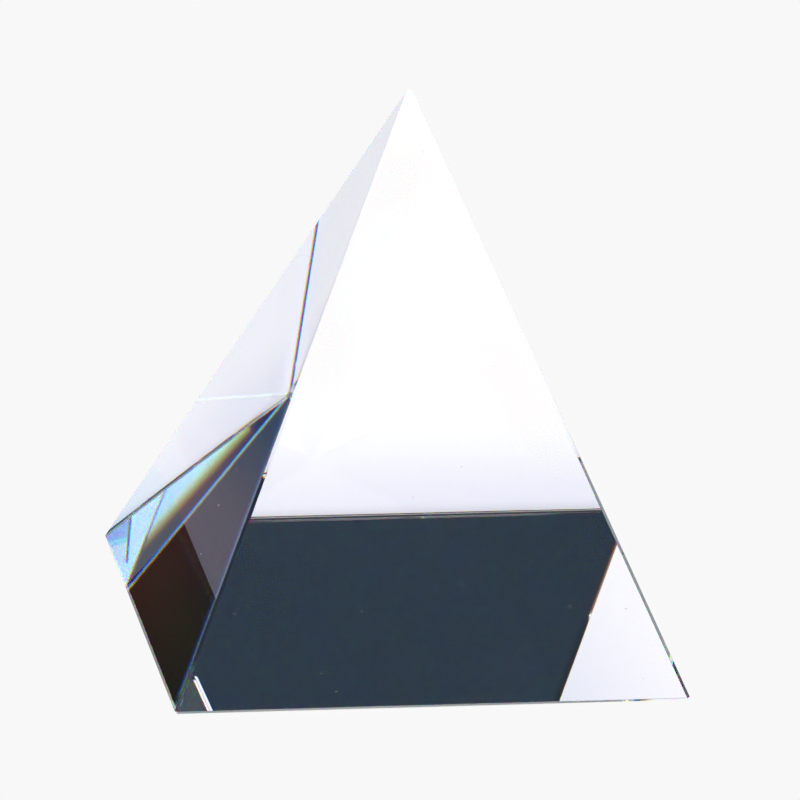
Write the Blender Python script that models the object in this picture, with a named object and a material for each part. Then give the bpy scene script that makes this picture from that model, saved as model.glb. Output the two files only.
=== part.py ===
"""A solid square pyramid of clear optical crystal, as stood on a desk or ground as an award blank.

It is one block: a sawn blank whose four sloping faces and base are ground flat and polished, and
whose sharp edges are then taken off with narrow flats, called arrises. The part stands on its
base at z = 0 with the middle of the base at the origin, and its tip points up +Z.
"""

from math import atan2, cos, hypot, pi, sin

import bmesh
import bpy
from mathutils import Vector

# Driving dimensions, in metres.
BASE_SIDE = 0.080  # side of the square base, before its edges are taken off
SHARP_HEIGHT = 0.087  # from the base up to where the four sloping faces would meet
SIDE_ARRIS = 0.00065  # width of the flat along each of the four sloping edges
BASE_ARRIS = 0.00050  # width of the flat along each of the four base edges
TIP_CUT = 0.00015  # taken off the tip once the sloping edges are done, which leaves a tiny flat
CORNER_CUT = 0.00015  # taken off each base corner in the same way, once its three edges are done
BLANK_ALLOWANCE = 0.004  # stock left all round on the sawn blank before grinding

# Optical crystal: water clear, polished on every face.
CRYSTAL_COLOUR = (0.97, 0.98, 1.0, 1.0)
CRYSTAL_ROUGHNESS = 0.0
CRYSTAL_IOR = 1.517

SIDES = 4
DOWN = Vector((0.0, 0.0, -1.0))
UP = Vector((0.0, 0.0, 1.0))


def clear_scene():
    for old in list(bpy.data.objects):
        bpy.data.objects.remove(old, do_unlink=True)


def crystal_material():
    material = bpy.data.materials.new("optical_crystal")
    material.use_nodes = True
    shader = material.node_tree.nodes["Principled BSDF"]
    shader.inputs["Base Color"].default_value = CRYSTAL_COLOUR
    shader.inputs["Metallic"].default_value = 0.0
    shader.inputs["Roughness"].default_value = CRYSTAL_ROUGHNESS
    shader.inputs["IOR"].default_value = CRYSTAL_IOR
    shader.inputs["Transmission Weight"].default_value = 1.0
    return material


def sawn_blank():
    """A rectangular block, a little larger than the finished pyramid on every side."""
    bm = bmesh.new()
    bmesh.ops.create_cube(bm, size=1.0)
    width = BASE_SIDE + 2.0 * BLANK_ALLOWANCE
    height = SHARP_HEIGHT + 2.0 * BLANK_ALLOWANCE
    bmesh.ops.scale(bm, verts=bm.verts, vec=(width, width, height))
    bmesh.ops.translate(bm, verts=bm.verts, vec=(0.0, 0.0, SHARP_HEIGHT / 2.0))
    return bm


def grind(bm, point, normal):
    """Take off everything beyond the plane through point, and close the block with a flat."""
    cut = bmesh.ops.bisect_plane(
        bm,
        geom=bm.verts[:] + bm.edges[:] + bm.faces[:],
        plane_co=point,
        plane_no=normal,
        clear_outer=True,
    )
    rim = [e for e in cut["geom_cut"] if isinstance(e, bmesh.types.BMEdge)]
    bmesh.ops.edgeloop_fill(bm, edges=rim)


def face_normal(turn):
    """The outward normal of the sloping face that looks along the given turn about Z."""
    rise = atan2(BASE_SIDE / 2.0, SHARP_HEIGHT)
    return Vector((cos(turn) * cos(rise), sin(turn) * cos(rise), sin(rise)))


def grind_arris(bm, normal_a, normal_b, edge_point, width):
    """Take a flat of this width off the edge between two faces, square to the bisector."""
    normal = (normal_a + normal_b).normalized()
    half_angle = (pi - normal_a.angle(normal_b)) / 2.0
    depth = width / 2.0 * cos(half_angle) / sin(half_angle)
    grind(bm, edge_point - normal * depth, normal)


def grind_point(bm, normal, depth):
    """Take this depth off whatever stands out furthest along the normal."""
    reach = max(v.co.dot(normal) for v in bm.verts)
    grind(bm, normal * (reach - depth), normal)


def corner_point(turn):
    """The sharp base corner that lies along the given turn about Z."""
    reach = hypot(BASE_SIDE, BASE_SIDE) / 2.0
    return Vector((cos(turn) * reach, sin(turn) * reach, 0.0))


def crystal_pyramid(material):
    bm = sawn_blank()
    face_turns = [2.0 * pi * i / SIDES for i in range(SIDES)]
    half_step = pi / SIDES
    tip = UP * SHARP_HEIGHT

    # The five working faces.
    grind(bm, Vector(), DOWN)
    for turn in face_turns:
        grind(bm, tip, face_normal(turn))

    # The sloping edges, then the base edges, then the base corners and the tip.
    for turn in face_turns:
        corner = corner_point(turn + half_step)
        next_normal = face_normal(turn + 2.0 * half_step)
        grind_arris(bm, face_normal(turn), next_normal, corner, SIDE_ARRIS)
    for turn in face_turns:
        foot = Vector((cos(turn), sin(turn), 0.0)) * BASE_SIDE / 2.0
        grind_arris(bm, face_normal(turn), DOWN, foot, BASE_ARRIS)
    for turn in face_turns:
        normal = face_normal(turn) + face_normal(turn + 2.0 * half_step) + DOWN
        grind_point(bm, normal.normalized(), CORNER_CUT)
    grind_point(bm, UP, TIP_CUT)

    bmesh.ops.recalc_face_normals(bm, faces=bm.faces)
    mesh = bpy.data.meshes.new("crystal_pyramid")
    bm.to_mesh(mesh)
    bm.free()
    mesh.materials.append(material)
    part = bpy.data.objects.new("crystal_pyramid", mesh)
    bpy.context.scene.collection.objects.link(part)
    return part


clear_scene()
crystal_pyramid(crystal_material())
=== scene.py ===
from math import cos, pi, radians, sin

import bpy
from mathutils import Matrix, Quaternion, Vector, noise


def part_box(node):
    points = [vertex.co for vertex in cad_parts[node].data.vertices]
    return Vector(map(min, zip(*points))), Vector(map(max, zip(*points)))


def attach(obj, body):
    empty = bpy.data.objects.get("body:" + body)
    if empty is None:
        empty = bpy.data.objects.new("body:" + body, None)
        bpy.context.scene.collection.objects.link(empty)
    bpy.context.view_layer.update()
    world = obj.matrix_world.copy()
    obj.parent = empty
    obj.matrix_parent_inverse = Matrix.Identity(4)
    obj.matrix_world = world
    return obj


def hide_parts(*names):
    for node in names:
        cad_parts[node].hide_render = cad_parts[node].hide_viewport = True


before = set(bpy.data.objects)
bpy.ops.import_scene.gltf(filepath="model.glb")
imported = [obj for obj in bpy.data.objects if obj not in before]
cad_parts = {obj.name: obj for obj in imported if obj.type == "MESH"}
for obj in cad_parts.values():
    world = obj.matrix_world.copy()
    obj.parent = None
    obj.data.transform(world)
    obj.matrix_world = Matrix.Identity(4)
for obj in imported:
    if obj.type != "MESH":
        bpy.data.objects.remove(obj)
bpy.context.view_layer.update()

BLOCK = "crystal_pyramid"

# How the block is cut, in metres.
BLANK_ALLOWANCE = 0.004      # the sawn blank is this much larger than the finished block
BROAD = 5                    # four slopes and the base; every other face is an arris or a corner
SAME_WAY = 0.9999            # two normals whose dot product is above this face the same way
ON_FACE = 1e-6               # a point this close to a face's plane lies on it
STATION = 0.0025             # spacing of the cuts at which a hand-ground arris may wander
WANDER = 0.00002             # how far it wanders from straight
WANDER_LENGTH = 0.006        # the length over which it wanders one way and back
RIDGE_ROUND = 0.00003        # polishing rounds every ridge by about this much
SHARP_RIDGE = radians(15)    # a smaller turn between two faces isn't a ridge

# Nicks: the two broad faces that meet there, the face it is measured from,
# the share of the way along the arris, then radius and depth in metres.
NICKS = (
    ("+x", "base", "-y", 0.93, 0.00034, 0.00006),
    ("+x", "base", "-y", 0.70, 0.00028, 0.00004),
    ("+x", "+y", "base", 0.36, 0.00036, 0.00006),
    ("+y", "base", "-x", 0.16, 0.00030, 0.00005),
    ("+y", "base", "-x", 0.19, 0.00026, 0.00004),
    ("+y", "base", "-x", 0.66, 0.00026, 0.00004),
    ("-x", "base", "-y", 0.42, 0.00030, 0.00005),
    ("-x", "-y", "base", 0.58, 0.00028, 0.00004),
    ("-y", "base", "-x", 0.78, 0.00028, 0.00004),
    ("+x", "-y", "base", 0.24, 0.00030, 0.00005),
    ("-x", "+y", "base", 0.47, 0.00028, 0.00004),
)

# Optical crystal bends blue light a little more than red. Where white light is split, each
# colour has a third of the glass, so it is let through three times as strongly.
CRYSTAL_INDEX = 1.5185
RED_INDEX = 1.5125
BLUE_INDEX = 1.5265
CLEAR = (1, 1, 1, 1)
RED_LIGHT = (3, 0, 0, 1)
GREEN_LIGHT = (0, 3, 0, 1)
BLUE_LIGHT = (0, 0, 3, 1)

# What the last polish and handling leave. Specks are dust, sleeks are hairline polishing marks.
MARKS = (("Speck Scale", 900.0), ("Speck Share", 0.006), ("Sleek Scale", 260.0))
SPECK_EDGE = (0.22, 0.12)    # a speck fades in between these distances from its middle
SLEEK_TURN = (0.6, 0.3, 0.9)
SLEEK_STRETCH = (1, 1, 0.02)
SLEEK_EDGE = (0.74, 0.78)
SLEEK_WEIGHT = 0.3           # against 1 for a speck
MARK_ROUGHNESS = 0.4
MARK_STRENGTH = 0.02
MARK_DEPTH = 0.0001


def open_piece(piece, kind="FACE"):
    """Makes one piece active with nothing in it selected, ready for pick()."""
    bpy.ops.object.select_all(action="DESELECT")
    piece.select_set(True)
    bpy.context.view_layer.objects.active = piece
    bpy.ops.object.mode_set(mode="EDIT")
    bpy.ops.mesh.select_mode(type=kind)
    bpy.ops.mesh.select_all(action="DESELECT")
    bpy.ops.object.mode_set(mode="OBJECT")


def pick(items, wanted):
    """Selects the wanted faces or edges and opens edit mode on them."""
    for item in items:
        item.select = wanted(item)
    bpy.ops.object.mode_set(mode="EDIT")


def close_piece():
    bpy.ops.object.mode_set(mode="OBJECT")


def flat_faces():
    """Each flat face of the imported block, largest first, as a point on it and its normal."""
    planes = []
    for face in sorted(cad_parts[BLOCK].data.polygons, key=lambda f: -f.area):
        if all(face.normal.dot(normal) < SAME_WAY for _, normal in planes):
            planes.append((face.center.copy(), face.normal.copy()))
    return planes


def named_faces(planes):
    """The four slopes by the side they face, and the base."""
    names = {}
    for point, normal in planes[:BROAD]:
        if normal.z < -0.9:
            name = "base"
        elif abs(normal.x) > abs(normal.y):
            name = "+x" if normal.x > 0 else "-x"
        else:
            name = "+y" if normal.y > 0 else "-y"
        names[name] = (point, normal)
    return names


def meeting_point(*planes):
    """The point where three planes meet."""
    normals = Matrix([normal for _, normal in planes])
    return normals.inverted() @ Vector([point.dot(normal) for point, normal in planes])


FLAT_FACES = flat_faces()
FACE = named_faces(FLAT_FACES)
OPPOSITE = {"+x": "-x", "-x": "+x", "+y": "-y", "-y": "+y"}
SIDE = 2 * meeting_point(FACE["+x"], FACE["+y"], FACE["base"]).x


def far_end_face(first, start):
    """The broad face at the other end of the arris that the first face has with another."""
    return OPPOSITE[start] if start in OPPOSITE else OPPOSITE[first]


def sawn_blank(low, high):
    spare = Vector((1, 1, 1)) * BLANK_ALLOWANCE
    bpy.ops.object.select_all(action="DESELECT")
    bpy.ops.mesh.primitive_cube_add(size=1, location=(low + high) / 2, scale=high - low + spare)
    bpy.ops.object.transform_apply(location=True, rotation=True, scale=True)
    return bpy.context.object


def grind(piece, point, normal):
    """Takes off all that stands outside a plane and leaves a flat face on it."""
    open_piece(piece)
    pick(piece.data.polygons, lambda face: True)
    bpy.ops.mesh.bisect(plane_co=point, plane_no=normal, use_fill=True, clear_outer=True)
    close_piece()


def is_broad(face):
    return any(face.normal.dot(normal) > SAME_WAY for _, normal in FLAT_FACES[:BROAD])


def cut_stations(piece, axis):
    """Cuts across the arrises at even places along one axis, and nowhere else."""
    low, high = (corner[axis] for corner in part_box(BLOCK))
    direction = Vector([float(axis == each) for each in range(3)])
    for step in range(1, int((high - low) / STATION)):
        open_piece(piece)
        pick(piece.data.polygons, lambda face: not is_broad(face))
        bpy.ops.mesh.bisect(plane_co=direction * (low + step * STATION), plane_no=direction)
        close_piece()


def wander(piece):
    """Moves each point of an arris a hair within the broad face beside it."""
    for spot in piece.data.vertices:
        beside = [f for f in FACE.values() if abs((spot.co - f[0]).dot(f[1])) < ON_FACE]
        if len(beside) == 1:
            inward = (beside[0][0] - spot.co).normalized()
            spot.co += inward * WANDER * noise.noise(spot.co / WANDER_LENGTH)


def round_ridges(piece):
    """Rounds every ridge a hair, as the last polish does."""
    beside = {}
    for face in piece.data.polygons:
        for key in face.edge_keys:
            beside.setdefault(key, []).append(face.normal)
    open_piece(piece, "EDGE")
    pick(piece.data.edges, lambda edge: beside[edge.key][0].angle(beside[edge.key][1]) > SHARP_RIDGE)
    bpy.ops.mesh.bevel(offset=RIDGE_ROUND, segments=2, affect="EDGES")
    close_piece()


def nick_cutter(first, second, start, share, radius, depth):
    """A small ball set so deep into the arris between two broad faces."""
    near = meeting_point(FACE[first], FACE[second], FACE[start])
    far = meeting_point(FACE[first], FACE[second], FACE[far_end_face(first, start)])
    outward = (FACE[first][1] + FACE[second][1]).normalized()
    point, normal = max(FLAT_FACES[BROAD:], key=lambda plane: plane[1].dot(outward))
    place = near.lerp(far, share)
    place -= normal * (place - point).dot(normal)
    bpy.ops.mesh.primitive_ico_sphere_add(
        subdivisions=3, radius=radius, location=place + normal * (radius - depth))
    cutter = bpy.context.object
    bpy.ops.object.transform_apply(location=True, rotation=True, scale=True)
    return cutter


def chip(piece):
    """Cuts the nicks out of the arrises."""
    bpy.ops.object.select_all(action="DESELECT")
    cutters = [nick_cutter(*nick) for nick in NICKS]
    for cutter in cutters:
        cutter.select_set(True)
    bpy.ops.object.join()
    balls = bpy.context.object
    bpy.context.view_layer.objects.active = piece
    cut = piece.modifiers.new("nicks", "BOOLEAN")
    cut.operation = "DIFFERENCE"
    cut.solver = "EXACT"
    cut.object = balls
    bpy.ops.object.modifier_apply(modifier=cut.name)
    bpy.data.objects.remove(balls)


def crystal_block():
    """The block itself: sawn, ground face by face, its arrises broken by hand, then polished."""
    piece = sawn_blank(*(Vector(corner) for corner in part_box(BLOCK)))
    piece.name = piece.data.name = "crystal_block"
    for point, normal in FLAT_FACES:
        grind(piece, point, normal)
    for axis in range(3):
        cut_stations(piece, axis)
    wander(piece)
    round_ridges(piece)
    chip(piece)
    open_piece(piece)
    pick(piece.data.polygons, lambda face: True)
    bpy.ops.mesh.normals_make_consistent(inside=False)
    close_piece()
    bpy.ops.object.shade_flat()
    piece.data.materials.append(optical_crystal())
    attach(piece, "root")
    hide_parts(BLOCK)
    return piece


def put(tree, kind, **values):
    """Adds a node and sets the named inputs: a number or colour is set, a socket is linked."""
    node = tree.nodes.new(kind)
    for name, value in values.items():
        feed(tree, node.inputs[name.replace("_", " ")], value)
    return node


def feed(tree, socket, value):
    if isinstance(value, bpy.types.NodeSocket):
        tree.links.new(value, socket)
    else:
        socket.default_value = value


def sum_up(tree, operation, *values):
    """One step of arithmetic on numbers or sockets."""
    node = tree.nodes.new("ShaderNodeMath")
    node.operation = operation
    for socket, value in zip(node.inputs, values):
        feed(tree, socket, value)
    return node.outputs[0]


def ease(tree, value, start, end, first=0.0, last=1.0):
    """Goes smoothly from first to last as value goes from start to end."""
    node = put(tree, "ShaderNodeMapRange", Value=value, From_Min=start, From_Max=end,
               To_Min=first, To_Max=last)
    node.interpolation_type = "SMOOTHSTEP"
    return node.outputs["Result"]


def blend_colours(tree, share, under, over):
    node = tree.nodes.new("ShaderNodeMix")
    node.data_type = "RGBA"
    for socket, value in zip((node.inputs[0], node.inputs[6], node.inputs[7]), (share, under, over)):
        feed(tree, socket, value)
    return node.outputs[2]


def mix_shaders(tree, share, first, second):
    node = tree.nodes.new("ShaderNodeMixShader")
    for socket, value in zip(node.inputs, (share, first, second)):
        feed(tree, socket, value)
    return node.outputs[0]


def empty_material(name):
    material = bpy.data.materials.new(name)
    material.use_nodes = True
    material.node_tree.nodes.clear()
    return material, material.node_tree


def polish_marks():
    """A group for polished crystal: dust specks and hairline sleeks, as roughness and a height."""
    group = bpy.data.node_groups.new("polish_marks", "ShaderNodeTree")
    for name, _ in MARKS:
        group.interface.new_socket(name, in_out="INPUT", socket_type="NodeSocketFloat")
    for name in ("Roughness", "Height"):
        group.interface.new_socket(name, in_out="OUTPUT", socket_type="NodeSocketFloat")
    given = group.nodes.new("NodeGroupInput").outputs
    place = group.nodes.new("ShaderNodeTexCoord").outputs["Object"]
    cells = put(group, "ShaderNodeTexVoronoi", Vector=place, Scale=given["Speck Scale"])
    chosen = put(group, "ShaderNodeTexWhiteNoise", Vector=cells.outputs["Position"])
    here = sum_up(group, "LESS_THAN", chosen.outputs["Value"], given["Speck Share"])
    speck = sum_up(group, "MULTIPLY", here, ease(group, cells.outputs["Distance"], *SPECK_EDGE))
    turned = put(group, "ShaderNodeMapping", Vector=place, Rotation=SLEEK_TURN, Scale=SLEEK_STRETCH)
    lines = put(group, "ShaderNodeTexNoise", Vector=turned.outputs[0], Scale=given["Sleek Scale"])
    sleek = sum_up(group, "MULTIPLY", ease(group, lines.outputs[0], *SLEEK_EDGE), SLEEK_WEIGHT)
    worn = sum_up(group, "MAXIMUM", speck, sleek)
    rough = sum_up(group, "MULTIPLY", worn, MARK_ROUGHNESS)
    put(group, "NodeGroupOutput", Roughness=rough, Height=worn)
    return group


def glass(tree, colour, index, marks, bump):
    shader = put(tree, "ShaderNodeBsdfGlass", Color=colour, IOR=index)
    feed(tree, shader.inputs["Roughness"], marks["Roughness"])
    feed(tree, shader.inputs["Normal"], bump)
    return shader.outputs[0]


def optical_crystal():
    """Clear crystal that splits light into colours where it enters and is plain glass inside."""
    material, tree = empty_material("optical_crystal")
    group = tree.nodes.new("ShaderNodeGroup")
    group.node_tree = polish_marks()
    for name, value in MARKS:
        group.inputs[name].default_value = value
    marks = group.outputs
    bump = put(tree, "ShaderNodeBump", Height=marks["Height"],
               Strength=MARK_STRENGTH, Distance=MARK_DEPTH).outputs[0]
    red = glass(tree, RED_LIGHT, RED_INDEX, marks, bump)
    green = glass(tree, GREEN_LIGHT, CRYSTAL_INDEX, marks, bump)
    blue = glass(tree, BLUE_LIGHT, BLUE_INDEX, marks, bump)
    split = mix_shaders(tree, 1 / 3, mix_shaders(tree, 0.5, red, green), blue)
    inside = glass(tree, CLEAR, CRYSTAL_INDEX, marks, bump)
    facing = tree.nodes.new("ShaderNodeNewGeometry").outputs["Backfacing"]
    put(tree, "ShaderNodeOutputMaterial", Surface=mix_shaders(tree, facing, split, inside))
    return material


# The studio. Sizes are in sides of the block except the gap, and every colour is light given off.
PALE = (0.939, 0.939, 0.939, 1)
TABLE_HALF = 1.1
TABLE_GAP = 0.0001               # in metres, so that no two sheets lie in one plane
TABLE_LIGHT = (1.075, 1.075, 1.10, 1)
TABLE_FRONT_LIGHT = (1.20, 1.60, 1.32, 1)
TABLE_BACK_LIGHT = (0.885, 0.885, 0.99, 1)
TABLE_RIGHT_LIGHT = (1.07, 1.07, 1.17, 1)
TO_BACK_LIGHT = (0.29, 0.49)     # the y where the back light starts, and where it is full
TO_FRONT_LIGHT = (-0.24, -0.42)  # the same, toward the front
TO_RIGHT_LIGHT = (0.43, 0.47)    # the same in x
CONTACT_SHADE = (0.03, 0.03, 0.035, 1)
FOOT_SHADE_STARTS = (0.494, 0.500)    # out from the middle, all round
FOOT_SHADE_ENDS = (0.524, 0.510)
BEHIND_SHADE_STARTS = (0.500, 0.530)  # in y, like the rest of the shade
BEHIND_SHADE_ENDS = (0.68, 0.60)
BEHIND_SHADE = 0.75
UNDER_SHADE_STARTS = (0.470, 0.505)
UNDER_SHADE = 0.30
SHADE_ENDS = (0.70, 0.66)
CARD_X = (-1.005, -0.52)
DARK_CARD_Y = (-1.0, 1.62)
DARK_CARD_CORNER = 0.26      # where its far end stops on the side next to the block
DARK_CARD_COLOUR = (0.006, 0.006, 0.006, 1)
GREY_CARD_Y = (0.2, 1.9)
GREY_CARD_COLOUR = (0.20, 0.34, 0.46, 1)

# The reflector stands on edge to the left. Its lit part ends in a soft slanting line.
REFLECTOR_AZIMUTH = radians(-122.3)
REFLECTOR_DISTANCE = 1.918
REFLECTOR_ACROSS = (-0.9, -0.3)
REFLECTOR_TOP = 1.0
REFLECTOR_LINE = 0.9625
REFLECTOR_SLOPE = 0.615
REFLECTOR_SOFT = 0.034
REFLECTOR_LIGHT = (1.0, 1.42, 1.36, 1)

ROOM = (0.008, 0.010, 0.013, 1)
# Softboxes and walls: azimuth and half width, height and half height, soft edge, in degrees,
# then light. Azimuth is from +y toward +x. A later one hangs in front of an earlier one.
LIGHTS = (
    ("walls_below", 0, 180, -45, 47, 1.5, (1.01, 1.00, 1.04, 1)),
    ("pale_step", -33, 6, 0.25, 1.65, 0.5, (0.80, 0.84, 0.95, 1)),
    ("grey_wall", -20, 8, -6.5, 3.8, 1.0, (0.08, 0.13, 0.30, 1)),
    ("grey_step", -20, 8, -8.15, 2.15, 0.3, (0.35, 0.34, 0.44, 1)),
    ("dim_corner", 103, 7, -11, 6, 1.0, (0.10, 0.55, 0.80, 1)),
    ("dark_doorway", 143, 12, -5, 4, 1.5, (0.02, 0.03, 0.04, 1)),
    ("blue_step", -142, 9, 4.5, 3.5, 1.0, (0.25, 0.42, 0.62, 1)),
    ("left_lamp", -128.5, 8, 21, 4, 0.8, (0.22, 0.14, 0.12, 1)),
    ("blue_wall", -133, 18, 31, 6.3, 0.8, (0.34, 0.46, 0.60, 1)),
    ("blue_shelf", -127, 11, 41, 3.2, 0.8, (0.50, 0.58, 0.85, 1)),
    ("blue_curtain", -164.8, 5, 18.3, 3.5, 1.0, (0.25, 0.42, 0.62, 1)),
    ("blue_window", 173, 7, 28, 10, 1.0, (0.26, 0.43, 0.655, 1)),
    ("front_card", 158, 7.5, 28, 8, 1.0, (1.40, 1.42, 1.50, 1)),
    ("front_lamp", 146.4, 5, 41.5, 3, 1.0, (1.9, 1.9, 2.0, 1)),
    ("overhead", 0, 180, 78, 20, 5.0, (1.22, 1.22, 1.28, 1)),
    ("right_strip", 79, 6, 22, 4, 2.0, (1.0, 1.0, 1.05, 1)),
    ("right_wall", 91.5, 5, 15.9, 0.6, 0.7, (0.04, 0.04, 0.03, 1)),
    ("red_wall", 89.3, 1.0, 16.3, 0.7, 1.2, (0.22, 0.05, 0.04, 1)),
    ("back_wall", 40, 14, 25, 5, 3.0, (0.02, 0.03, 0.05, 1)),
    ("back_card", -13, 6, 29, 4, 2.0, (0.24, 0.25, 0.27, 1)),
)


def seen_or_lit(tree, seen, lit):
    """What the camera sees straight on is plain and pale; what lights the crystal is its own."""
    path = tree.nodes.new("ShaderNodeLightPath").outputs["Is Camera Ray"]
    return mix_shaders(tree, path, lit, seen)


def table_light(tree, x, y):
    """The table's own light, dimmest behind the block."""
    light = blend_colours(tree, ease(tree, y, *TO_BACK_LIGHT), TABLE_LIGHT, TABLE_BACK_LIGHT)
    light = blend_colours(tree, ease(tree, x, *TO_RIGHT_LIGHT), light, TABLE_RIGHT_LIGHT)
    return blend_colours(tree, ease(tree, y, *TO_FRONT_LIGHT), light, TABLE_FRONT_LIGHT)


def contact_shade(tree, x, y):
    """How dark the table is round the block's foot, behind it, and under its back edge."""
    out = sum_up(tree, "MAXIMUM", sum_up(tree, "ABSOLUTE", x), sum_up(tree, "ABSOLUTE", y))
    starts = ease(tree, out, *FOOT_SHADE_STARTS)
    at_foot = sum_up(tree, "MULTIPLY", starts, ease(tree, out, *FOOT_SHADE_ENDS))
    starts = ease(tree, y, *BEHIND_SHADE_STARTS)
    ends = ease(tree, y, *BEHIND_SHADE_ENDS, 0.0, BEHIND_SHADE)
    behind = sum_up(tree, "MULTIPLY", starts, ends)
    under = ease(tree, y, *UNDER_SHADE_STARTS, 0.0, UNDER_SHADE)
    shade = sum_up(tree, "MAXIMUM", sum_up(tree, "MAXIMUM", at_foot, behind), under)
    return sum_up(tree, "MULTIPLY", shade, ease(tree, y, *SHADE_ENDS))


def table_material():
    """The lit table, with the shade where the block stands."""
    material, tree = empty_material("light_table")
    place = tree.nodes.new("ShaderNodeTexCoord").outputs["Object"]
    parts = put(tree, "ShaderNodeSeparateXYZ", Vector=place).outputs
    x = sum_up(tree, "DIVIDE", parts["X"], SIDE)
    y = sum_up(tree, "DIVIDE", parts["Y"], SIDE)
    light = blend_colours(tree, contact_shade(tree, x, y), table_light(tree, x, y), CONTACT_SHADE)
    lit = put(tree, "ShaderNodeEmission", Color=light)
    seen = put(tree, "ShaderNodeEmission", Color=PALE)
    put(tree, "ShaderNodeOutputMaterial", Surface=seen_or_lit(tree, seen.outputs[0], lit.outputs[0]))
    return material


def plain_card(colour):
    material, tree = empty_material("studio_card")
    lit = put(tree, "ShaderNodeEmission", Color=colour).outputs[0]
    put(tree, "ShaderNodeOutputMaterial", Surface=lit)
    return material


def reflector_material():
    """Pale card, lit up to a soft line that rises along it."""
    material, tree = empty_material("reflector")
    place = tree.nodes.new("ShaderNodeTexCoord").outputs["Object"]
    parts = put(tree, "ShaderNodeSeparateXYZ", Vector=place).outputs
    across = put(tree, "ShaderNodeVectorMath", Vector=place)
    across.operation = "DOT_PRODUCT"
    across.inputs[1].default_value = reflector_across() * REFLECTOR_SLOPE
    level = sum_up(tree, "SUBTRACT", parts["Z"], across.outputs["Value"])
    level = sum_up(tree, "DIVIDE", level, SIDE)
    share = ease(tree, level, REFLECTOR_LINE - REFLECTOR_SOFT, REFLECTOR_LINE + REFLECTOR_SOFT)
    light = blend_colours(tree, share, REFLECTOR_LIGHT, ROOM)
    lit = put(tree, "ShaderNodeEmission", Color=light).outputs[0]
    put(tree, "ShaderNodeOutputMaterial", Surface=lit)
    return material


def reflector_across():
    """The level direction along the reflector."""
    toward = Vector((sin(REFLECTOR_AZIMUTH), cos(REFLECTOR_AZIMUTH), 0))
    return toward.cross(Vector((0, 0, 1)))


def hide_from_camera(sheet):
    sheet.visible_camera = False
    sheet.visible_diffuse = False
    sheet.visible_shadow = False


def finish_sheet(name, size, material):
    """Gives the sheet just added its size and material, with its place in its mesh."""
    sheet = bpy.context.object
    sheet.scale = (size[0] * SIDE, size[1] * SIDE, 1)
    bpy.ops.object.transform_apply(location=True, rotation=True, scale=True)
    sheet.name = name
    sheet.data.materials.append(material)
    return sheet


def flat_sheet(name, x_span, y_span, height, material):
    """A sheet lying flat, given in sides of the block."""
    middle = (sum(x_span) / 2 * SIDE, sum(y_span) / 2 * SIDE, height)
    bpy.ops.object.select_all(action="DESELECT")
    bpy.ops.mesh.primitive_plane_add(size=1, location=middle)
    return finish_sheet(name, (x_span[1] - x_span[0], y_span[1] - y_span[0]), material)


def cut_back(card, y):
    """Moves a card's far corner next to the block, so its far end slants."""
    for corner in card.data.vertices:
        if corner.co.y > 0 and corner.co.x > sum(CARD_X) / 2 * SIDE:
            corner.co.y = y * SIDE


def studio_floor():
    """The table, and two cards that lie on it to the left of the block."""
    span = (-TABLE_HALF, TABLE_HALF)
    flat_sheet("light_table", span, span, -TABLE_GAP, table_material())
    grey = flat_sheet("grey_card", CARD_X, GREY_CARD_Y, TABLE_GAP, plain_card(GREY_CARD_COLOUR))
    hide_from_camera(grey)
    dark = flat_sheet("dark_card", CARD_X, DARK_CARD_Y, 2 * TABLE_GAP, plain_card(DARK_CARD_COLOUR))
    cut_back(dark, DARK_CARD_CORNER)
    hide_from_camera(dark)


def reflector():
    """A card standing on edge, in front of the block and to its left."""
    across = reflector_across()
    toward = Vector((sin(REFLECTOR_AZIMUTH), cos(REFLECTOR_AZIMUTH), 0))
    middle = toward * REFLECTOR_DISTANCE + across * sum(REFLECTOR_ACROSS) / 2
    middle.z = REFLECTOR_TOP / 2
    bpy.ops.object.select_all(action="DESELECT")
    turn = (pi / 2, 0, -REFLECTOR_AZIMUTH)
    bpy.ops.mesh.primitive_plane_add(size=1, location=middle * SIDE, rotation=turn)
    size = (REFLECTOR_ACROSS[1] - REFLECTOR_ACROSS[0], REFLECTOR_TOP)
    hide_from_camera(finish_sheet("reflector", size, reflector_material()))


def near_angle(tree, angle, middle, half, soft):
    """1 where an angle is within half a width of the middle one, falling to 0 over the soft edge."""
    turned = sum_up(tree, "WRAP", sum_up(tree, "SUBTRACT", angle, middle), -180.0, 180.0)
    return ease(tree, sum_up(tree, "ABSOLUTE", turned), half + soft, half - soft)


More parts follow.
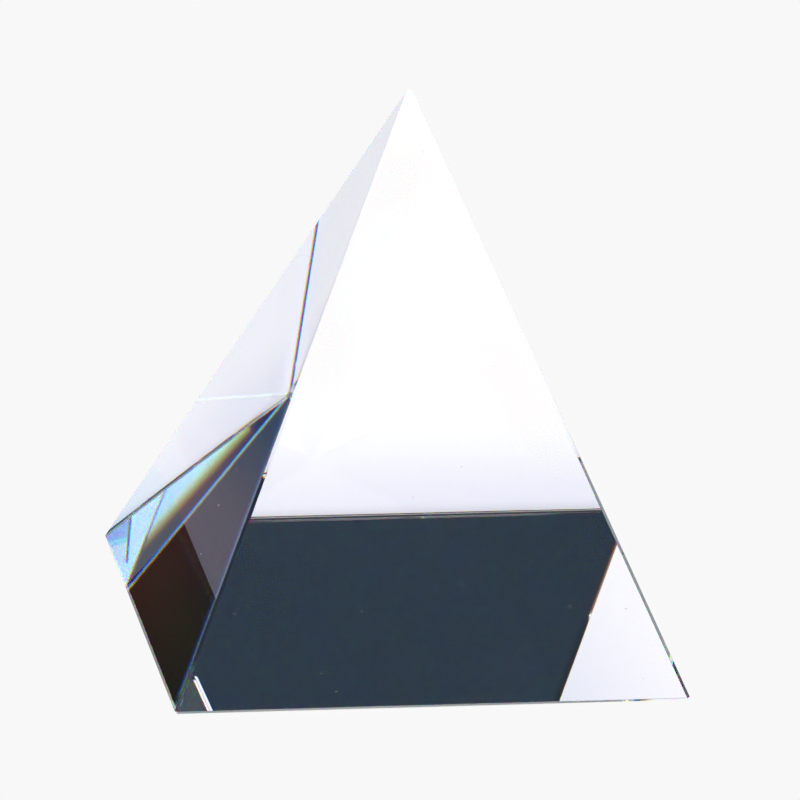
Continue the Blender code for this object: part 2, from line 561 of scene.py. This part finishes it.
def studio_world():
    """The room: each lamp or wall hangs in front of those before it."""
    world = bpy.data.worlds.new("studio")
    bpy.context.scene.world = world
    world.use_nodes = True
    tree = world.node_tree
    tree.nodes.clear()
    way = tree.nodes.new("ShaderNodeTexCoord").outputs["Generated"]
    parts = put(tree, "ShaderNodeSeparateXYZ", Vector=way).outputs
    height = sum_up(tree, "MULTIPLY", sum_up(tree, "ARCSINE", parts["Z"]), 180 / pi)
    azimuth = sum_up(tree, "MULTIPLY", sum_up(tree, "ARCTAN2", parts["X"], parts["Y"]), 180 / pi)
    light = ROOM
    for name, across, half_width, up, half_height, soft, colour in LIGHTS:
        share = sum_up(tree, "MULTIPLY", near_angle(tree, azimuth, across, half_width, soft),
                       near_angle(tree, height, up, half_height, soft))
        light = blend_colours(tree, share, light, colour)
        light.node.label = name
    lit = put(tree, "ShaderNodeBackground", Color=light).outputs[0]
    seen = put(tree, "ShaderNodeBackground", Color=PALE).outputs[0]
    put(tree, "ShaderNodeOutputWorld", Surface=seen_or_lit(tree, seen, lit))


# The camera, in degrees, sides of the block and millimetres of film.
CAMERA_AZIMUTH = radians(-9.8523)
CAMERA_HEIGHT = radians(19.0045)
CAMERA_ROLL = radians(1.9239)
CAMERA_DISTANCE = 20.0
CAMERA_AIM = Vector((0.0016, 0.0, 0.4477))
FILM_WIDTH = 36.0
LENS = 465.14

LONGEST_PATH = 32            # how often light may bounce or pass a face inside the crystal


def camera():
    """A long lens a little to the left of the block and above it."""
    lens = bpy.data.cameras.new("camera")
    lens.sensor_width = FILM_WIDTH
    lens.lens = LENS
    lens.clip_start = 0.01
    lens.clip_end = 100.0
    eye = bpy.data.objects.new("camera", lens)
    bpy.context.scene.collection.objects.link(eye)
    level = cos(CAMERA_HEIGHT)
    toward = Vector((sin(CAMERA_AZIMUTH) * level, -cos(CAMERA_AZIMUTH) * level, sin(CAMERA_HEIGHT)))
    eye.location = (CAMERA_AIM + toward * CAMERA_DISTANCE) * SIDE
    gaze = (-toward).to_track_quat("-Z", "Y") @ Quaternion((0, 0, 1), CAMERA_ROLL)
    eye.rotation_euler = gaze.to_euler()
    bpy.context.scene.camera = eye


def light_paths():
    """Crystal needs long paths, and the pale studio is shown with no colour curve."""
    scene = bpy.context.scene
    scene.view_settings.view_transform = "Standard"
    scene.cycles.max_bounces = LONGEST_PATH
    scene.cycles.transmission_bounces = LONGEST_PATH
    scene.cycles.glossy_bounces = LONGEST_PATH
    scene.cycles.blur_glossy = 0
    scene.cycles.sample_clamp_indirect = 0


crystal_block()
studio_floor()
reflector()
studio_world()
camera()
light_paths()
